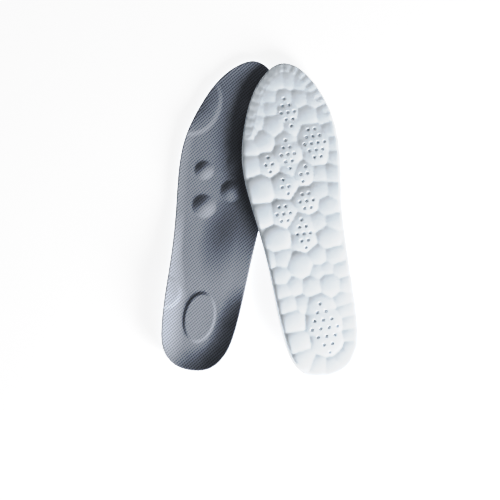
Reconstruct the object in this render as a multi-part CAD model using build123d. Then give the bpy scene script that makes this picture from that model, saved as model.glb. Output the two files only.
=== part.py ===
from build123d import *
import os

import numpy as np

# A pair of cushioned insoles, in millimetres. Each insole is a moulded foam body,
# a thin barrier film bonded over its top, and a mesh top cloth bonded to the film.
# The left insole lies top up on the ground. The right one lies upside down on top
# of it, so its moulded underside shows. An insole is drawn in its own frame: the
# heel is at y = 0, the toe at +y, the arch (inner) side at +x, the underside at z = 0.

# ---- driving dimensions ----
LENGTH = 265.5          # heel to toe
FILM = 0.2              # barrier film, measured vertically
CLOTH = 0.8             # mesh top cloth, measured vertically
EDGE_CHAMFER_Z = 2.6    # height of the slope between underside and side wall
BLANK_TOP = 22.0        # top of the blank that the shaped top surface trims

HEEL_THICK = 7.5        # total thickness under the heel, without the raised pad
FOREFOOT_THICK = 6.0
TOE_THICK = 4.6
THINS_FROM = 70.0       # from here over the next stretch, heel to forefoot thickness
THINS_OVER = 60.0
TOE_FROM = 215.0        # and from here over the next stretch, forefoot to toe thickness
TOE_OVER = 45.0

HOLE_R = 1.1            # breathing perforations in the underside
HOLE_DEPTH = 3.2
HOLE_PITCH = (5.6, 5.9)
HEEL_HOLE_PITCH = (7.2, 6.9)

GRID_STEP = 3.5         # spacing of the points that the top surface follows
MARGIN = 6.0            # how far the top surface runs past the outline
SURFACE_TOLERANCE = 0.1
SURFACE_SMOOTHING = (1.0, 1.0, 1.0)
BOX_TOLERANCE = 0.05    # of the facets that the pair's box is measured on
RIM_SAMPLES = 240       # points round the outline that the rim's slope is measured from

# ---- where the two insoles lie ----
LEFT_TURN = -11.5       # about the vertical, toes turned to the right
LEFT_HEEL = (-58.5, -127.9)
RIGHT_TURN = 9.3
RIGHT_HEEL = (58.4, -132.0)
RIGHT_ROLL = 5.7        # its outer edge is raised, because it rests on the left insole
RIGHT_PITCH = -4.0     # its toe is lower than its heel
RIGHT_LIFT = 27.75

# Rim of the top edge by zone: height above the underside, the distance from the edge
# at which the slope starts to rise, the width of the flat crest, and the inset of the
# underside's edge from the side wall.
ZONES = {
    "heel": (15.0, 15.0, 1.5, 3.0),
    "outer_waist": (11.0, 9.0, 1.5, 2.5),
    "outer_ball": (7.0, 8.0, 1.5, 2.0),
    "toe": (4.6, 12.0, 1.0, 7.0),
    "inner_ball": (6.4, 10.0, 1.5, 2.0),
    "arch_end": (8.0, 18.0, 2.0, 3.0),
    "arch": (9.5, 22.0, 2.0, 4.0),
}
# The outline seen from above, from the back of the heel round the outer side.
OUTLINE = [
    (0.5, 0.0, "heel"),
    (-14.0, 2.6, "heel"),
    (-24.5, 12.5, "heel"),
    (-29.8, 30.0, "heel"),
    (-32.6, 60.0, "heel"),
    (-34.3, 95.0, "outer_waist"),
    (-38.0, 131.0, "outer_ball"),
    (-42.3, 165.0, "outer_ball"),
    (-42.3, 190.0, "outer_ball"),
    (-36.0, 217.0, "toe"),
    (-22.8, 246.0, "toe"),
    (-9.8, 260.0, "toe"),
    (2.5, LENGTH, "toe"),
    (14.0, 262.0, "toe"),
    (25.5, 249.0, "toe"),
    (35.5, 227.0, "toe"),
    (39.9, 200.0, "inner_ball"),
    (38.6, 172.0, "inner_ball"),
    (34.8, 143.0, "arch_end"),
    (33.0, 112.0, "arch"),
    (32.4, 78.0, "arch"),
    (31.2, 40.0, "heel"),
    (26.6, 18.0, "heel"),
    (15.5, 4.0, "heel"),
]
# Round massage bumps on top: centre x and y, radius, height.
BUMPS = [
    (-21.3, 167.0, 8.5, 2.6),
    (-15.4, 137.4, 10.6, 3.2),
    (4.3, 154.3, 9.4, 3.0),
    (7.0, 178.5, 11.5, 3.0),
    (7.0, 226.0, 10.0, 2.2),
]
# Raised pads on top: centre x and y, half width, half length, height, edge width.
# The last one is the arch support.
PADS = [
    (-0.5, 44.9, 12.8, 20.7, 1.5, 3.0),
    (-43.0, 222.0, 24.0, 28.0, 1.2, 4.0),
    (-34.0, 60.0, 13.5, 13.0, 1.2, 4.0),
    (27.0, 108.0, 25.0, 33.0, 6.5, 28.0),
]
# Perforated fields on the underside: centre x and y, the holes in each row, the pitch.
FIELDS = [
    (1.8, 224.0, (1, 2, 3, 2, 1), HOLE_PITCH),
    (20.0, 195.0, (2, 3, 4, 3, 2), HOLE_PITCH),
    (-3.9, 189.0, (1, 2, 3, 2, 1), HOLE_PITCH),
    (-20.9, 182.7, (1, 2, 1), HOLE_PITCH),
    (7.1, 170.6, (1, 2, 1), HOLE_PITCH),
    (-10.3, 162.2, (1, 2, 1), HOLE_PITCH),
    (5.4, 147.8, (2, 3, 2), HOLE_PITCH),
    (-15.6, 140.0, (2, 3, 2), HOLE_PITCH),
    (-1.4, 121.0, (1, 2, 3, 2, 1), HOLE_PITCH),
    (3.1, 40.0, (1, 2, 3, 4, 3, 2, 1), HEEL_HOLE_PITCH),
]


def smooth(t):
    """Rise smoothly from 0 to 1 while t goes from 0 to 1."""
    t = np.clip(t, 0.0, 1.0)
    return t * t * (3.0 - 2.0 * t)


def outline_edge(inset=False):
    """The closed outline, or the underside's edge inside it."""
    count = len(OUTLINE)
    points = []
    for i, (x, y, zone) in enumerate(OUTLINE):
        back = Vector(*OUTLINE[i - 1][:2])
        ahead = Vector(*OUTLINE[(i + 1) % count][:2])
        inward = (ahead - back).normalized().rotate(Axis.Z, -90)
        points.append(Vector(x, y) + inward * (ZONES[zone][3] if inset else 0.0))
    return Spline(*points, periodic=True)


def rim_samples():
    """Points along the outline, outward normals, and the rim's three sizes there."""
    edge = outline_edge()
    knots = [0.0] + [edge.param_at_point(Vector(x, y)) for x, y, zone in OUTLINE[1:]] + [1.0]
    sizes = np.array([ZONES[zone][:3] for x, y, zone in OUTLINE + OUTLINE[:1]])
    steps = np.arange(RIM_SAMPLES) / RIM_SAMPLES
    places = np.array([tuple(edge.position_at(s))[:2] for s in steps])
    tangents = np.array([tuple(edge.tangent_at(s))[:2] for s in steps])
    outward = np.stack([-tangents[:, 1], tangents[:, 0]], axis=1)
    rims = [np.interp(steps, knots, column) for column in sizes.T]
    return places, outward, rims


def top_height(x, y, samples):
    """Height of the finished top over the underside, at arrays of x and y."""
    places, outward, (rim, foot, crest) = samples
    away = np.stack([x, y], axis=-1)[..., None, :] - places
    nearest = np.argmin((away ** 2).sum(axis=-1), axis=-1)
    step = np.take_along_axis(away, nearest[..., None, None], axis=-2)[..., 0, :]
    inside = -(step * outward[nearest]).sum(axis=-1)
    base = HEEL_THICK + (FOREFOOT_THICK - HEEL_THICK) * smooth((y - THINS_FROM) / THINS_OVER)
    base = base + (TOE_THICK - FOREFOOT_THICK) * smooth((y - TOE_FROM) / TOE_OVER)
    slope = smooth((foot[nearest] - inside) / (foot[nearest] - crest[nearest]))
    height = base + (rim[nearest] - base) * slope
    for cx, cy, radius, rise in BUMPS:
        near = np.hypot(x - cx, y - cy) / radius
        height = height + rise * (1.0 - smooth(near))
    for cx, cy, half_x, half_y, rise, edge in PADS:
        past = (1.0 - np.hypot((x - cx) / half_x, (y - cy) / half_y)) * min(half_x, half_y)
        height = height + rise * smooth(0.5 + past / edge)
    return height


def top_surface():
    """The finished top as one smooth face that runs past the outline."""
    places = np.array([point[:2] for point in OUTLINE])
    low, high = places.min(axis=0) - MARGIN, places.max(axis=0) + MARGIN
    counts = np.ceil((high - low) / GRID_STEP).astype(int)
    xs, ys = (np.linspace(*span) for span in zip(low, high, counts))
    grid_x, grid_y = np.meshgrid(xs, ys)
    heights = top_height(grid_x, grid_y, rim_samples())
    rows = [
        [Vector(float(x), float(y), float(z)) for x, y, z in zip(*row)]
        for row in zip(grid_x, grid_y, heights)
    ]
    return Face.make_surface_from_array_of_points(
        rows, tol=SURFACE_TOLERANCE, smoothing=SURFACE_SMOOTHING, max_deg=5
    )


def upward(face):
    """The same flat face with its normal up."""
    return face if face.normal_at().Z > 0.0 else -face


def blank():
    """The foam's outline as a tall block with a slope round its underside."""
    side = upward(make_face(outline_edge()).face()).moved(Location((0, 0, EDGE_CHAMFER_Z)))
    under = upward(make_face(outline_edge(inset=True)).face())
    slope = loft([under, side], ruled=True).solid()
    wall = Solid.extrude(side, Vector(0, 0, BLANK_TOP - EDGE_CHAMFER_Z))
    return (slope + wall).solid()


def top_face(foam):
    """The shaped top of the trimmed foam."""
    return max(foam.faces().filter_by(GeomType.BSPLINE), key=lambda face: face.center().Z)


def risen(face, start, thickness):
    """A layer of even height on a face, from start above it."""
    return Solid.extrude(face.moved(Location((0, 0, start))), Vector(0, 0, thickness))


def perforations():
    """One pin for each hole in the underside's perforated fields."""
    pins = []
    for cx, cy, rows, (pitch_x, pitch_y) in FIELDS:
        for row, count in enumerate(rows):
            y = cy + (row - (len(rows) - 1) / 2.0) * pitch_y
            for column in range(count):
                x = cx + (column - (count - 1) / 2.0) * pitch_x
                pins.append(Solid.make_cylinder(HOLE_R, HOLE_DEPTH, Plane((x, y, 0))))
    return pins


def insole():
    """The foam body, the barrier film and the top cloth, in the insole's own frame."""
    surface = top_surface().moved(Location((0, 0, -FILM - CLOTH)))
    foam = min(blank().split(surface, keep=Keep.BOTH), key=lambda half: half.center().Z)
    top = top_face(foam)
    return {
        "foam_body": foam.cut(*perforations()).solid(),
        "barrier_film": risen(top, 0.0, FILM),
        "top_cloth": risen(top, FILM, CLOTH),
    }


def laid_out(own):
    """Both insoles where they lie, by node name."""
    nodes = {}
    left = Location((*LEFT_HEEL, 0), (0, 0, LEFT_TURN))
    right = Location((*RIGHT_HEEL, RIGHT_LIFT), (0, 0, RIGHT_TURN))
    tilt = Location((0, 0, 0), (RIGHT_PITCH, RIGHT_ROLL, 0))
    for name, solid in own.items():
        nodes["left_" + name] = solid.moved(left)
        nodes["right_" + name] = solid.mirror(Plane.XY).moved(right * tilt)
    return nodes


def centred(nodes):
    """The nodes moved so that the origin is at the bottom centre of their box."""
    points = np.array([
        tuple(point) for solid in nodes.values() for point in solid.tessellate(BOX_TOLERANCE)[0]
    ])
    low, high = points.min(axis=0), points.max(axis=0)
    shift = Location((-(low[0] + high[0]) / 2.0, -(low[1] + high[1]) / 2.0, -low[2]))
    return {name: solid.moved(shift) for name, solid in nodes.items()}


def write(nodes):
    """One STEP file for each node."""
    os.makedirs("parts", exist_ok=True)
    for name, solid in nodes.items():
        solid.label = name
        export_step(solid, os.path.join("parts", name + ".step"))


write(centred(laid_out(insole())))
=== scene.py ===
"""Looks for a pair of cushioned insoles: a left one lying top up, and a right one
upside down on it. Shapes are worked out in millimetres in an insole's own frame,
heel at y = 0, toe at +y, arch side at +x, underside at z = 0, and placed in metres."""

import math

import bpy
import numpy as np
from mathutils import Matrix, Vector
from mathutils.geometry import delaunay_2d_cdt

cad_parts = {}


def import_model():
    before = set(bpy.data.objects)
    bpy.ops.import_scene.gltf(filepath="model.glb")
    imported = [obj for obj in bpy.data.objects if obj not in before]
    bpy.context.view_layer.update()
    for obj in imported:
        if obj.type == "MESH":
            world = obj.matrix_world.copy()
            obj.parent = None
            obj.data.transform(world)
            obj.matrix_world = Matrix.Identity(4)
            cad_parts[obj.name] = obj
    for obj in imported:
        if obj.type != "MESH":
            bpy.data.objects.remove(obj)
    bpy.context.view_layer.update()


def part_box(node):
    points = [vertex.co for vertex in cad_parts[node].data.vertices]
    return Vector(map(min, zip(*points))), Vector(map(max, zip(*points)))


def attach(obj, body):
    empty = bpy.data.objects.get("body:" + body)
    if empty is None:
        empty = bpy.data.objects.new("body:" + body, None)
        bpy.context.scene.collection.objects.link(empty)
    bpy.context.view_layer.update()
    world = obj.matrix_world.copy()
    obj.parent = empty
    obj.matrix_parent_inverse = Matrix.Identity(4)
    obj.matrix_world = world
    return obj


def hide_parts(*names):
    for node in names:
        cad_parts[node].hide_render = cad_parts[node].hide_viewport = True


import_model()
MM = 0.001

# ---- sizes shared with the CAD model, in millimetres ----
LENGTH = 265.5
FILM = 0.2
CLOTH = 0.8
HEEL_THICK = 7.5
FOREFOOT_THICK = 6.0
TOE_THICK = 4.6
THINS_FROM = 70.0
THINS_OVER = 60.0
TOE_FROM = 215.0
TOE_OVER = 45.0
LEFT_TURN = -11.5
LEFT_HEEL = (-58.5, -127.9)
RIGHT_TURN = 9.3
RIGHT_HEEL = (58.4, -132.0)
RIGHT_ROLL = 5.7
RIGHT_PITCH = -4.0
RIGHT_LIFT = 27.75

# ---- the top's shape, which differs from the CAD model's by up to 3.5 mm, and the outline ----
# Rim by zone: height, where its slope starts, the crest's width, and for the underside
# the width and the height of the slope round its edge.
ZONES = {
    "heel": (14.5, 18.0, 1.5, 3.2, 1.0),
    "outer_waist": (11.0, 9.0, 1.5, 3.0, 0.9),
    "outer_ball": (7.0, 8.0, 1.5, 2.4, 1.0),
    "toe": (4.6, 12.0, 1.0, 8.0, 0.9),
    "inner_ball": (6.4, 10.0, 1.5, 2.4, 1.0),
    "arch_end": (7.6, 18.0, 2.0, 3.0, 1.1),
    "arch": (8.6, 14.0, 2.0, 3.0, 1.1),
}
# The outline seen from above, from the back of the heel round the outer side.
OUTLINE = [
    (0.5, 0.0, "heel"),
    (-14.0, 2.6, "heel"),
    (-24.5, 12.5, "heel"),
    (-29.8, 30.0, "heel"),
    (-32.6, 60.0, "heel"),
    (-34.3, 95.0, "outer_waist"),
    (-38.0, 131.0, "outer_ball"),
    (-42.3, 165.0, "outer_ball"),
    (-42.3, 190.0, "outer_ball"),
    (-36.0, 217.0, "toe"),
    (-22.8, 246.0, "toe"),
    (-9.8, 260.0, "toe"),
    (2.5, LENGTH, "toe"),
    (14.0, 262.0, "toe"),
    (25.5, 249.0, "toe"),
    (35.5, 227.0, "toe"),
    (39.9, 200.0, "inner_ball"),
    (38.6, 172.0, "inner_ball"),
    (34.8, 143.0, "arch_end"),
    (33.0, 112.0, "arch"),
    (32.4, 78.0, "arch"),
    (31.2, 40.0, "heel"),
    (26.6, 18.0, "heel"),
    (15.5, 4.0, "heel"),
]
# Round massage bumps on top: centre x and y, radius, height.
BUMPS = [
    (-21.3, 167.0, 8.5, 2.3),
    (-15.4, 137.4, 10.6, 2.8),
    (4.3, 154.3, 9.4, 2.8),
    (7.0, 178.5, 11.5, 3.0),
    (7.0, 226.0, 10.0, 2.2),
]
# Raised pads on top: centre x and y, half width, half length, height, edge width.
# The last one is the arch support.
PADS = [
    (-0.5, 44.9, 12.8, 20.7, 1.3, 2.6),
    (-43.0, 222.0, 24.0, 28.0, 1.1, 4.5),
    (-34.0, 60.0, 13.5, 13.0, 1.1, 4.5),
    (27.0, 112.0, 22.0, 27.0, 7.0, 40.0),
]

# ---- the moulded underside ----
RELIEF = 1.5            # the height that an endlessly large pebble would have
CREST = 1.37            # the height of the largest pebble
DOME_SPREAD = 100.0     # how soon a larger pebble stops being a higher one
GROOVE = 30.0           # a pebble has no height this far past its reach, in square millimetres
FIELD_BLEND = 8.0       # how softly the stretches of one field meet
PETAL = 7.4             # how far apart the petals on the toe's bevel are, along the edge
PETAL_DEPTH = 0.42      # from a petal's middle to the grooves beside it
PETAL_GROOVE = 0.45     # height of those grooves, as a share of CREST
PETAL_SHARE = 0.85      # how far the petals take the place of the pebbles there
RIDGE = 0.12            # height of the line along the inside of the bevel, on the outer side
SCALLOP = (-0.2, 0.5)   # how far the outline moves out, at a groove and beyond that at a pebble
HOLE_DEPTH = 1.15
HOLE_POINTS = 16
# A perforation's rings, from its soft lip down: radius, share of the depth.
HOLE_STEPS = [(1.6, 0.0), (1.38, 0.05), (1.2, 0.3), (1.0, 1.0)]
HOLE_KEPT_CLEAR = 2.0   # round each perforation, where no other points of the mesh lie
HOLE_PITCH = (5.6, 5.9)
HEEL_HOLE_PITCH = (7.2, 6.9)
# Pebbles: centre x and y, and how far each one pushes its neighbours away.
PEBBLES = [
    (-1.5, 252, 7), (7, 251, 7), (16.5, 248, 7), (25.5, 243, 6), (-9, 249, 6),
    (-11.5, 240, 6), (-13, 229, 6), (-22, 230, 6), (-25, 220, 6), (-20.5, 237, 5),
    (13.5, 234, 7), (25.5, 232, 7), (33, 218, 7), (18, 219, 8), (36, 204, 6),
    (37, 192, 6), (36, 180, 6), (31.5, 167.5, 7), (20, 169, 6.5), (18.5, 155, 7),
    (30, 152.5, 6.5), (23, 141, 8), (-12.5, 215, 8), (-22, 203, 8), (-33, 213, 7),
    (-34, 199, 6.5), (-35.5, 184, 8), (-31.5, 163, 11), (-32, 142, 9), (-24.5, 120, 10),
    (-34, 104, 6), (-22.5, 103, 7), (-9, 95, 10), (7.5, 101, 7), (20.5, 99, 7),
    (19, 115, 9), (12, 129, 7), (25, 127, 7), (5, 87.5, 5), (14, 89, 5),
    (23.5, 86, 6), (25.5, 73, 6), (13.5, 75, 9), (-2, 76, 8), (-15.5, 79, 6.5),
    (-26, 89, 7), (-26.5, 76, 6), (-24.5, 64, 7), (-11.5, 63, 6), (-22, 49.5, 9),
    (-21, 32, 9), (-18, 17, 8), (-6.5, 10, 7), (4.5, 7.5, 7), (15, 12, 7),
    (23.5, 20, 6), (24.5, 31, 6), (24.5, 41, 6), (23.5, 52, 6), (22, 61.5, 6),
]
# Perforated fields: the stretches of each one, given like the pebbles, then the middle of
# its holes, the holes in each row, their pitch, and how far each row is set over.
FIELDS = [
    ([(0.5, 236, 7), (1.8, 224, 8.5), (4, 212, 6)], (1.8, 224.0), (1, 2, 3, 2, 1), HOLE_PITCH, -0.6),
    ([(18, 203, 9), (20.5, 195, 12), (20, 186, 10)], (20.0, 195.0), (2, 3, 4, 3, 2), HOLE_PITCH, -0.4),
    ([(-4.5, 200, 7), (-4, 189, 11), (-3.5, 178, 7)], (-3.9, 189.0), (1, 2, 3, 2, 1), HOLE_PITCH, 0.0),
    ([(-21.5, 183, 8.5)], (-20.9, 182.7), (1, 2, 1), HOLE_PITCH, 0.0),
    ([(7.5, 171.5, 8.5)], (7.1, 170.6), (1, 2, 1), HOLE_PITCH, 2.0),
    ([(-11.5, 163, 10)], (-10.3, 162.2), (1, 2, 1), HOLE_PITCH, -1.2),
    ([(5, 147.5, 10.5)], (5.4, 147.8), (2, 3, 2), HOLE_PITCH, 0.0),
    ([(-15.5, 140.5, 10.5)], (-15.6, 140.0), (2, 3, 2), HOLE_PITCH, 0.0),
    ([(-1.5, 128, 10), (-2, 116, 9)], (-1.4, 121.0), (1, 2, 3, 2, 1), HOLE_PITCH, 0.0),
    ([(2, 57, 12), (3, 44, 15), (3, 30, 13)], (3.1, 40.0), (1, 2, 3, 4, 3, 2, 1), HEEL_HOLE_PITCH, -0.3),
]

RING_STEP = 1.0         # spacing of points round an outline
FOAM_STEP = 1.15        # spacing of points on the underside
LAYER_STEP = 3.0        # spacing of points on hidden faces
WALL_RINGS = 6

# The mesh cloth: spacing and slant of its ribs, and of the openings between them.
RIB_PITCH = 2.05
RIB_SLANT = math.radians(52.5)
OPENING_PITCH = 1.88
OPENING_SLANT = math.radians(37.0)
RIB_HEIGHT = 0.22
BRIDGE = 0.55           # how much lighter and higher the cloth is between two openings

# The top's rim: how its slope sharpens towards the edge, and how the edge is rounded.
SLOPE_POWER = 1.7
EDGE_DROP = 0.3
EDGE_WIDTH = 0.9


def smooth(t):
    """Rise smoothly from 0 to 1 while t goes from 0 to 1."""
    t = np.clip(t, 0.0, 1.0)
    return t * t * (3.0 - 2.0 * t)


# ---- outline ----

def closed_curve(points, step):
    """Evenly spaced points on a smooth closed curve through the points, and where the points are."""
    points = np.array(points, float)
    count = len(points)
    spans = np.linalg.norm(np.roll(points, -1, axis=0) - points, axis=1)
    knots = np.concatenate([[0.0], np.cumsum(spans)])
    system = np.zeros((count, count))
    sides = np.zeros((count, 2))
    for i in range(count):
        before, after = spans[i - 1], spans[i]
        system[i, i - 1] += after
        system[i, i] += 2.0 * (before + after)
        system[i, (i + 1) % count] += before
        rise_before = (points[i] - points[i - 1]) / before
        rise_after = (points[(i + 1) % count] - points[i]) / after
        sides[i] = 3.0 * (after * rise_before + before * rise_after)
    slopes = np.linalg.solve(system, sides)
    dense = np.linspace(0.0, knots[-1], 40 * count, endpoint=False)
    span = np.searchsorted(knots, dense, side="right") - 1
    t = ((dense - knots[span]) / spans[span])[:, None]
    a, b = points[span], points[(span + 1) % count]
    da, db = slopes[span] * spans[span, None], slopes[(span + 1) % count] * spans[span, None]
    curve = (a * (1 + 2 * t) * (1 - t) ** 2 + da * t * (1 - t) ** 2
             + b * t * t * (3 - 2 * t) + db * t * t * (t - 1))
    gaps = np.linalg.norm(np.roll(curve, -1, axis=0) - curve, axis=1)
    along = np.concatenate([[0.0], np.cumsum(gaps)])
    total = along[-1]
    places = np.arange(int(total / step)) * total / int(total / step)
    closed = np.vstack([curve, curve[:1]])
    ring = np.stack([np.interp(places, along, column) for column in closed.T], axis=1)
    marks = np.interp(knots, np.append(dense, knots[-1]), along)
    return ring, places, marks


def outline():
    """The outline ring, its outward normals, and the zones' sizes along it."""
    ring, places, marks = closed_curve([point[:2] for point in OUTLINE], RING_STEP)
    ahead = np.roll(ring, -1, axis=0) - np.roll(ring, 1, axis=0)
    ahead /= np.linalg.norm(ahead, axis=1)[:, None]
    outward = np.stack([-ahead[:, 1], ahead[:, 0]], axis=1)
    sizes = np.array([ZONES[zone] for x, y, zone in OUTLINE + OUTLINE[:1]])
    along = np.stack([np.interp(places, marks, column) for column in sizes.T], axis=1)
    return ring, outward, along


RING, OUTWARD, RIM = outline()


def in_chunks(function, x, y, size=4000):
    """Apply a function of x and y to long arrays a stretch at a time."""
    parts = [function(x[i:i + size], y[i:i + size]) for i in range(0, len(x), size)]
    return [np.concatenate(column) for column in zip(*parts)]


def from_edge(x, y):
    """How far inside the outline points are, and the nearest place on it."""
    def stretch(px, py):
        away = np.stack([px, py], axis=1)[:, None, :] - RING
        nearest = np.argmin((away ** 2).sum(axis=2), axis=1)
        step = away[np.arange(len(px)), nearest]
        return -(step * OUTWARD[nearest]).sum(axis=1), nearest
    return in_chunks(stretch, x, y)


# ---- the top surface ----

def top_height(x, y):
    """Height of the finished top over the plane that the insole's underside is moulded to."""
    inside, nearest = from_edge(x, y)
    rim, foot, crest = RIM[nearest, :3].T
    base = HEEL_THICK + (FOREFOOT_THICK - HEEL_THICK) * smooth((y - THINS_FROM) / THINS_OVER)
    base = base + (TOE_THICK - FOREFOOT_THICK) * smooth((y - TOE_FROM) / TOE_OVER)
    slope = np.clip((foot - inside) / (foot - 0.3 * crest), 0.0, 1.0) ** SLOPE_POWER
    height = base + (rim - base) * slope
    for cx, cy, radius, rise in BUMPS:
        near = np.clip(np.hypot(x - cx, y - cy) / radius, 0.0, 1.0)
        height = height + rise * (1.0 - near ** 2) ** 1.5
    for cx, cy, half_x, half_y, rise, edge in PADS:
        past = (1.0 - np.hypot((x - cx) / half_x, (y - cy) / half_y)) * min(half_x, half_y)
        height = height + rise * smooth(0.5 + past / edge)
    return height - EDGE_DROP * (1.0 - smooth(inside / EDGE_WIDTH))


def weave(x, y):
    """Relief of the mesh cloth, from 0 in its openings to 1 on its ribs."""
    along = x * math.cos(OPENING_SLANT) + y * math.sin(OPENING_SLANT)
    across = y * math.cos(RIB_SLANT) - x * math.sin(RIB_SLANT)
    rib = 0.5 + 0.5 * np.cos(2 * math.pi * across / RIB_PITCH)
    bridge = 0.5 + 0.5 * np.cos(2 * math.pi * along / OPENING_PITCH)
    return 1.0 - (1.0 - rib) * (1.0 - BRIDGE * bridge)


# ---- the underside ----

SEEDS = np.array(PEBBLES + [seed for field in FIELDS for seed in field[0]], float)
GROUP = np.array(
    list(range(len(PEBBLES)))
    + [len(PEBBLES) + i for i, field in enumerate(FIELDS) for seed in field[0]]
)
APART = np.hypot(*(SEEDS[:, None, :2] - SEEDS[None, :, :2]).transpose(2, 0, 1))


def dome_at(x, y):
    """How far each point lies up its own pebble's dome, and how far it is from a groove.

    Every seed carries the same paraboloid, higher for a larger reach, and the pebbles
    are where one rises over the others. The seeds of one field blend into each other."""
    def stretch(px, py):
        up = SEEDS[:, 2] ** 2 - (px[:, None] - SEEDS[:, 0]) ** 2 - (py[:, None] - SEEDS[:, 1]) ** 2
        own = np.argmax(up, axis=1)
        top = up[np.arange(len(px)), own]
        same = GROUP[None, :] == GROUP[own][:, None]
        blend = np.where(same, np.exp((up - top[:, None]) / FIELD_BLEND), 0.0).sum(axis=1)
        gap = (top[:, None] - up) / (2.0 * np.maximum(APART[own], 1e-6))
        gap = np.where(same, 1e3, gap)
        return top + FIELD_BLEND * np.log(blend), gap.min(axis=1)
    return in_chunks(stretch, x, y)


def underside_height(x, y):
    """Height of the moulded underside over the plane that its highest pebbles touch."""
    dome, near = dome_at(x, y)
    rise = RELIEF * (1.0 - np.exp(-(np.maximum(dome, -2.0 * GROOVE) + GROOVE) / DOME_SPREAD))
    inside, nearest = from_edge(x, y)
    width, depth = RIM[nearest, 3], RIM[nearest, 4]
    toe = smooth((width - 4.0) / 4.0)
    t = np.clip(1.0 - inside / width, 0.0, 1.0)
    rounded = depth * (1.0 - np.sqrt(1.0 - t * t))
    fade = toe * smooth(t * 3.0)
    ridge = RIDGE * toe * smooth(-x / 10.0) * np.exp(-((inside - width) / 0.7) ** 2)
    across = 2.0 * (nearest * RING_STEP / PETAL % 1.0) - 1.0
    petal = PETAL_GROOVE * CREST + PETAL_DEPTH * (1.0 - across ** 2)
    slope = rounded + (depth * t - rounded) * toe
    return CREST - rise + PETAL_SHARE * (rise - petal) * fade + slope - ridge


def groove_points(step=0.9):
    """Points along the grooves, from the polygon round each seed, cut out of a far wider box."""
    box = [(-90.0, -60.0), (90.0, -60.0), (90.0, 330.0), (-90.0, 330.0)]
    found = {}
    for i, (cx, cy, r) in enumerate(SEEDS):
        polygon = [(np.array(corner), -1) for corner in box]
        for j, (ox, oy, o) in enumerate(SEEDS):
            if i == j:
                continue
            normal = np.array([ox - cx, oy - cy])
            limit = (ox * ox + oy * oy - o * o - cx * cx - cy * cy + r * r) / 2.0
            polygon = clipped(polygon, normal, limit, j)
        for k, (start, j) in enumerate(polygon):
            end = polygon[(k + 1) % len(polygon)][0]
            if j < 0 or GROUP[i] == GROUP[j]:
                continue
            pieces = max(1, int(round(np.linalg.norm(end - start) / step)))
            for t in np.linspace(0.0, 1.0, pieces + 1):
                point = start + (end - start) * t
                found[(round(point[0], 1), round(point[1], 1))] = point
    points = np.array(list(found.values()))
    inside, nearest = from_edge(points[:, 0], points[:, 1])
    return points[inside > 0.5]


def clipped(polygon, normal, limit, label):
    """A convex polygon cut by a line. Each corner carries the label of the side after it."""
    result = []
    for k, (start, side) in enumerate(polygon):
        end = polygon[(k + 1) % len(polygon)][0]
        a, b = normal @ start - limit, normal @ end - limit
        if a <= 0:
            result.append((start, side))
        if (a <= 0) != (b <= 0):
            cross = start + (end - start) * (a / (a - b))
            result.append((cross, label if a <= 0 else side))
    return result


def hole_centres():
    """Centre of each perforation."""
    centres = []
    for seeds, (cx, cy), rows, (pitch_x, pitch_y), shift in FIELDS:
        for row, count in enumerate(rows):
            place = row - (len(rows) - 1) / 2.0
            for column in range(count):
                offset = (column - (count - 1) / 2.0) * pitch_x
                centres.append((cx + offset + shift * place, cy + place * pitch_y))
    return np.array(centres)


# ---- meshes ----

def hexagonal(step):
    """Evenly spread points inside the outline, in a pattern of triangles."""
    low, high = RING.min(axis=0), RING.max(axis=0)
    rows = np.arange(low[1], high[1], step * math.sqrt(3) / 2)
    points = [
        (x, y)
        for i, y in enumerate(rows)
        for x in np.arange(low[0] + (i % 2) * step / 2, high[0], step)
    ]
    points = np.array(points)
    inside, nearest = from_edge(points[:, 0], points[:, 1])
    return points[inside > 0.6 * step]


def on_the_weave():
    """Points inside the outline, four to each rib of the cloth and three to each opening."""
    reach = 330.0
    a = np.arange(-reach, reach, OPENING_PITCH / 3)
    b = np.arange(-reach, reach, RIB_PITCH / 4)
    along, across = [grid.ravel() for grid in np.meshgrid(a, b)]
    x = along * math.cos(RIB_SLANT) - across * math.sin(RIB_SLANT)
    y = along * math.sin(RIB_SLANT) + across * math.cos(RIB_SLANT)
    low, high = RING.min(axis=0), RING.max(axis=0)
    kept = (x > low[0]) & (x < high[0]) & (y > low[1]) & (y < high[1])
    x, y = x[kept], y[kept]
    inside, nearest = from_edge(x, y)
    return np.stack([x, y], axis=1)[inside > 0.45]


def away_from(points, centres, distance):
    """The points that aren't within a distance of any centre."""
    kept = np.ones(len(points), bool)
    for centre in centres:
        kept &= ((points - centre) ** 2).sum(axis=1) > distance ** 2
    return points[kept]


def triangulated(ring, inner):
    """Triangles over a ring and the points inside it. The ring's points come first."""
    flat = np.vstack([ring, inner])
    count = len(ring)
    edges = [(i, (i + 1) % count) for i in range(count)]
    result = delaunay_2d_cdt([Vector(p) for p in flat], edges, [], 1, 1e-5, True)
    faces, origins = np.array(result[2]), result[3]
    order = np.array([origin[0] if origin else -1 for origin in origins])
    if (order < 0).any() or len(set(order)) != len(order):
        raise RuntimeError("the triangulation moved or joined points")
    faces = order[faces]
    middle = flat[faces].mean(axis=1)
    inside, nearest = from_edge(middle[:, 0], middle[:, 1])
    return faces[inside > 0]


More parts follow.
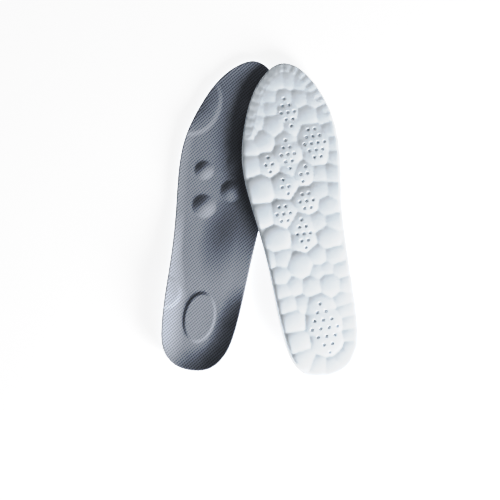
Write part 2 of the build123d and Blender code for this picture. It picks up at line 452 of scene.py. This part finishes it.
def closed_body(lower, lower_z, upper, upper_z, scallop, wall):
    """A closed mesh from two faces that share the outline, joined by a wall of rings.

    lower and upper are inner points; the heights are for the outline and then those
    points. scallop moves the lower edge outward. wall gives, for each ring between, its
    share of the height and its outward offset."""
    count = len(RING)
    low_faces = triangulated(RING, lower)
    high_faces = triangulated(RING, upper)
    rings = []
    for share, offset in wall:
        z = lower_z[:count] + (upper_z[:count] - lower_z[:count]) * share
        flat = RING + OUTWARD * (offset + scallop * (1.0 - share) ** 2)[:, None]
        rings.append(np.column_stack([flat, z]))
    low = np.column_stack([np.vstack([RING + OUTWARD * scallop[:, None], lower]), lower_z])
    high = np.column_stack([np.vstack([RING, upper]), upper_z])
    vertices = np.vstack([low, *rings, high])
    starts = [0] + [len(low) + count * i for i in range(len(rings) + 1)]
    faces = [tuple(face[::-1]) for face in low_faces]
    faces += [tuple(face + starts[-1]) for face in high_faces]
    turn = np.arange(count)
    after = np.roll(turn, -1)
    for below, above in zip(starts[:-1], starts[1:]):
        quads = np.stack([turn + below, turn + above, after + above, after + below], axis=1)
        faces += [tuple(quad) for quad in quads]
    return vertices, faces


def foam_shape():
    """The foam body: pebbled and perforated below, shaped above."""
    holes = hole_centres()
    angle = np.linspace(0.0, 2.0 * math.pi, HOLE_POINTS, endpoint=False)
    circle = np.stack([np.cos(angle), np.sin(angle)], axis=1)
    sunk = [
        np.column_stack([centre + radius * circle, np.full(HOLE_POINTS, share * HOLE_DEPTH)])
        for radius, share in HOLE_STEPS
        for centre in holes
    ]
    sunk = np.vstack(sunk + [np.column_stack([holes, np.full(len(holes), 1.05 * HOLE_DEPTH)])])
    grooves = away_from(groove_points(), holes, HOLE_KEPT_CLEAR)
    filler = away_from(hexagonal(FOAM_STEP), holes, HOLE_KEPT_CLEAR)
    filler = filler[dome_at(filler[:, 0], filler[:, 1])[1] > 0.5]
    lower = np.vstack([filler, grooves, sunk[:, :2]])
    flat = np.vstack([RING, lower])
    lower_z = underside_height(flat[:, 0], flat[:, 1])
    lower_z[-len(sunk):] += sunk[:, 2]
    upper = hexagonal(LAYER_STEP)
    flat = np.vstack([RING, upper])
    upper_z = top_height(flat[:, 0], flat[:, 1]) - FILM - CLOTH
    dome, near = dome_at(RING[:, 0], RING[:, 1])
    scallop = SCALLOP[1] * smooth((dome + 10.0) / 50.0) + SCALLOP[0]
    steps = [(i + 1) / (WALL_RINGS + 1) for i in range(WALL_RINGS)]
    wall = [(share, 0.3 * math.sin(math.pi * share)) for share in steps]
    return closed_body(lower, lower_z, upper, upper_z, scallop, wall)


def layer_shape(bottom, thickness, upper, relief):
    """A layer of even thickness whose bottom lies a given depth under the finished top."""
    lower = hexagonal(LAYER_STEP)
    flat = np.vstack([RING, lower])
    lower_z = top_height(flat[:, 0], flat[:, 1]) - bottom
    flat = np.vstack([RING, upper])
    upper_z = top_height(flat[:, 0], flat[:, 1]) - bottom + thickness
    if relief:
        inside, nearest = from_edge(flat[:, 0], flat[:, 1])
        upper_z += RIB_HEIGHT * (weave(flat[:, 0], flat[:, 1]) - 1.0) * smooth(inside / 1.5)
    return closed_body(lower, lower_z, upper, upper_z, np.zeros(len(RING)), [(0.5, 0.12)])


def placement(side):
    """Where an insole of one side lies, as a matrix from its own frame in millimetres."""
    if side == "left":
        return Matrix.Translation((*LEFT_HEEL, 0.0)) @ Matrix.Rotation(math.radians(LEFT_TURN), 4, "Z")
    turn = Matrix.Rotation(math.radians(RIGHT_TURN), 4, "Z")
    pitch = Matrix.Rotation(math.radians(RIGHT_PITCH), 4, "X")
    roll = Matrix.Rotation(math.radians(RIGHT_ROLL), 4, "Y")
    flip = Matrix.Scale(-1.0, 4, (0.0, 0.0, 1.0))
    return Matrix.Translation((*RIGHT_HEEL, RIGHT_LIFT)) @ turn @ pitch @ roll @ flip


def placed(vertices, side):
    """Vertices moved from the insole's own frame to where it lies, still in millimetres."""
    matrix = np.array(placement(side))
    return vertices @ matrix[:3, :3].T + matrix[:3, 3]


def make_mesh(name, shape, side, shift, material):
    """A smooth-shaded object in metres. A mirrored insole has its faces turned over."""
    vertices, faces = shape
    moved = (placed(vertices, side) + shift) * MM
    if side == "right":
        faces = [face[::-1] for face in faces]
    mesh = bpy.data.meshes.new(name)
    mesh.from_pydata(moved.tolist(), [], [list(map(int, face)) for face in faces])
    mesh.polygons.foreach_set("use_smooth", [True] * len(mesh.polygons))
    mesh.materials.append(material)
    own = mesh.attributes.new("own", "FLOAT_VECTOR", "POINT")
    own.data.foreach_set("vector", vertices.astype(np.float32).ravel())
    mesh.update()
    thing = bpy.data.objects.new(name, mesh)
    bpy.context.scene.collection.objects.link(thing)
    return thing


# ---- materials ----

def new_material(name, color, roughness):
    """A material, its node tree and its shader."""
    material = bpy.data.materials.new(name)
    material.use_nodes = True
    tree = material.node_tree
    shader = tree.nodes["Principled BSDF"]
    shader.inputs["Base Color"].default_value = (*color, 1.0)
    shader.inputs["Roughness"].default_value = roughness
    return material, tree, shader


def link(tree, start, end):
    """Join an output to an input."""
    tree.links.new(start, end)


def math_node(tree, operation, *values):
    """A math node whose inputs are numbers or other nodes' outputs."""
    node = tree.nodes.new("ShaderNodeMath")
    node.operation = operation
    for socket, value in zip(node.inputs, values):
        if isinstance(value, (int, float)):
            socket.default_value = value
        else:
            link(tree, value, socket)
    return node.outputs[0]


def own_position(tree):
    """The point's place in its insole's own frame, in millimetres, as a vector."""
    node = tree.nodes.new("ShaderNodeAttribute")
    node.attribute_name = "own"
    return node.outputs["Vector"]


def noise(tree, vector, scale, detail=2.0):
    """Noise from 0 to 1."""
    node = tree.nodes.new("ShaderNodeTexNoise")
    node.inputs["Scale"].default_value = scale
    node.inputs["Detail"].default_value = detail
    link(tree, vector, node.inputs["Vector"])
    return node.outputs["Fac"]


def ramp(tree, factor, stops):
    """A colour ramp with the given (place, colour) stops."""
    node = tree.nodes.new("ShaderNodeValToRGB")
    elements = node.color_ramp.elements
    while len(elements) < len(stops):
        elements.new(0.5)
    for element, (place, color) in zip(elements, stops):
        element.position = place
        element.color = (*color, 1.0)
    link(tree, factor, node.inputs["Fac"])
    return node.outputs["Color"]


def wave(tree, x, y, direction, pitch):
    """Waves from 0 to 1 across a direction, with crests a pitch apart."""
    turn = 2.0 * math.pi / pitch
    part = math_node(tree, "MULTIPLY", x, turn * math.cos(direction))
    part = math_node(tree, "MULTIPLY_ADD", y, turn * math.sin(direction), part)
    return math_node(tree, "MULTIPLY_ADD", math_node(tree, "COSINE", part), 0.5, 0.5)


def bump(tree, height, distance, strength, shader):
    """Fine relief from a height of 0 to 1 and the distance in metres that 1 stands for."""
    node = tree.nodes.new("ShaderNodeBump")
    node.inputs["Distance"].default_value = distance
    node.inputs["Strength"].default_value = strength
    link(tree, height, node.inputs["Height"])
    link(tree, node.outputs["Normal"], shader.inputs["Normal"])


def foam_material():
    """Matte white foam with a fine cell texture and a faint unevenness."""
    material, tree, shader = new_material("insole_foam", (0.80, 0.85, 0.90), 0.62)
    shader.inputs["Specular IOR Level"].default_value = 0.35
    place = own_position(tree)
    uneven = noise(tree, place, 0.05, 3.0)
    tint = ramp(tree, uneven, [(0.3, (0.745, 0.81, 0.87)), (0.7, (0.795, 0.85, 0.905))])
    link(tree, tint, shader.inputs["Base Color"])
    shader.inputs["Subsurface Weight"].default_value = 0.35
    shader.inputs["Subsurface Radius"].default_value = (1.0, 1.0, 1.0)
    shader.inputs["Subsurface Scale"].default_value = 0.002
    bump(tree, noise(tree, place, 1.6, 3.0), 0.0002, 0.12, shader)
    return material


def cloth_material():
    """Blue-grey mesh cloth: light ribs on a slant, with a row of dark openings between."""
    material, tree, shader = new_material("insole_mesh_cloth", (0.28, 0.31, 0.36), 0.85)
    shader.inputs["Specular IOR Level"].default_value = 0.25
    shader.inputs["Sheen Weight"].default_value = 0.25
    shader.inputs["Sheen Roughness"].default_value = 0.5
    place = own_position(tree)
    split = tree.nodes.new("ShaderNodeSeparateXYZ")
    link(tree, place, split.inputs[0])
    x, y = split.outputs[0], split.outputs[1]
    rib = wave(tree, x, y, RIB_SLANT + math.pi / 2.0, RIB_PITCH)
    bridge = wave(tree, x, y, OPENING_SLANT, OPENING_PITCH)
    low = math_node(tree, "SUBTRACT", 1.0, rib)
    dark = math_node(tree, "MULTIPLY_ADD", bridge, -BRIDGE, 1.0)
    relief = math_node(tree, "SUBTRACT", 1.0, math_node(tree, "MULTIPLY", low, dark))
    uneven = noise(tree, place, 0.9, 3.0)
    shade = math_node(tree, "MULTIPLY_ADD", math_node(tree, "SUBTRACT", uneven, 0.5), 0.25, relief)
    tint = ramp(tree, shade, [(0.0, (0.12, 0.13, 0.147)), (0.55, (0.285, 0.31, 0.357)),
                              (1.0, (0.385, 0.41, 0.462))])
    link(tree, tint, shader.inputs["Base Color"])
    bump(tree, noise(tree, place, 4.0, 2.0), 0.0002, 0.3, shader)
    return material


def film_material():
    """Thin grey film, hidden between the cloth and the foam."""
    material, tree, shader = new_material("insole_film", (0.45, 0.47, 0.51), 0.4)
    uneven = noise(tree, own_position(tree), 0.3)
    tint = ramp(tree, uneven, [(0.3, (0.42, 0.44, 0.48)), (0.7, (0.48, 0.5, 0.54))])
    link(tree, tint, shader.inputs["Base Color"])
    return material


# ---- the object ----

def insoles():
    """Both insoles, each a foam body, a film and a top cloth."""
    shapes = {
        "foam_body": foam_shape(),
        "barrier_film": layer_shape(FILM + CLOTH, FILM, hexagonal(LAYER_STEP), relief=False),
        "top_cloth": layer_shape(CLOTH, CLOTH, on_the_weave(), relief=True),
    }
    materials = {
        "foam_body": foam_material(),
        "barrier_film": film_material(),
        "top_cloth": cloth_material(),
    }
    own = placed(np.column_stack([RING, np.zeros(len(RING))]), "left") * MM
    low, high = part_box("left_foam_body")
    middle = (np.array(low) + np.array(high)) / 2.0
    shift = (middle - (own.min(axis=0) + own.max(axis=0)) / 2.0) / MM
    shift[2] = 0.0
    for side in ("left", "right"):
        for kind, shape in shapes.items():
            node = side + "_" + kind
            thing = make_mesh(side + "_insole_" + kind, shape, side, shift, materials[kind])
            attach(thing, side + "_insole")
            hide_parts(node)


insoles()


# ---- stage, light and camera ----

def floor():
    """A plain pale floor. It gives off much of the light it shows, so it is nearly blank white."""
    mesh = bpy.data.meshes.new("floor")
    half = 4.0
    corners = [(-half, -half, 0.0), (half, -half, 0.0), (half, half, 0.0), (-half, half, 0.0)]
    mesh.from_pydata(corners, [], [(0, 1, 2, 3)])
    thing = bpy.data.objects.new("floor", mesh)
    bpy.context.scene.collection.objects.link(thing)
    material, tree, shader = new_material("pale_floor", (0.93, 0.93, 0.93), 0.9)
    shader.inputs["Emission Color"].default_value = (1.0, 1.0, 1.0, 1.0)
    shader.inputs["Emission Strength"].default_value = 1.35
    mesh.materials.append(material)
    thing.location.z = -0.0002


def area_light(name, place, size, power, aim=(0.0, 0.0, 0.0)):
    """A soft lamp in metres and watts that faces a point."""
    light = bpy.data.lights.new(name, "AREA")
    light.size = size
    light.energy = power
    thing = bpy.data.objects.new(name, light)
    bpy.context.scene.collection.objects.link(thing)
    thing.location = place
    thing.rotation_euler = (Vector(aim) - Vector(place)).to_track_quat("-Z", "Y").to_euler()


def world(strength):
    """Even white light from all round."""
    background = bpy.data.worlds.new("studio")
    background.use_nodes = True
    background.node_tree.nodes["Background"].inputs["Color"].default_value = (1.0, 1.0, 1.0, 1.0)
    background.node_tree.nodes["Background"].inputs["Strength"].default_value = strength
    bpy.context.scene.world = background


def camera():
    """Straight down, with a view of the given width at the insoles' height."""
    view_width = 0.4203
    insole_height = 0.01
    height = 2.5
    data = bpy.data.cameras.new("camera")
    data.sensor_width = 36.0
    data.lens = data.sensor_width * (height - insole_height) / view_width
    data.clip_end = 20.0
    thing = bpy.data.objects.new("camera", data)
    bpy.context.scene.collection.objects.link(thing)
    thing.location = (-0.0080, -0.0258, height)
    thing.rotation_euler = (0.0, 0.0, 0.0)
    bpy.context.scene.camera = thing


# The camera's response: the light that is pure white, and how bright some amounts show.
WHITE_LEVEL = 2.2
RESPONSE = [(0.1, 0.04), (0.3, 0.275), (0.6, 0.54), (1.0, 0.82), (1.4, 0.885), (1.8, 0.935)]


def camera_response():
    """A photograph's response: deep shadows and soft highlights."""
    view = bpy.context.scene.view_settings
    view.view_transform = "Standard"
    view.look = "None"
    view.use_curve_mapping = True
    mapping = view.curve_mapping
    mapping.white_level = (WHITE_LEVEL, WHITE_LEVEL, WHITE_LEVEL)
    curve = mapping.curves[3]
    for light, shown in RESPONSE:
        curve.points.new(light / WHITE_LEVEL, shown)
    mapping.update()


floor()
area_light("key", (0.64, -0.73, 0.34), 0.5, 28.5)
world(0.215)
camera()
camera_response()
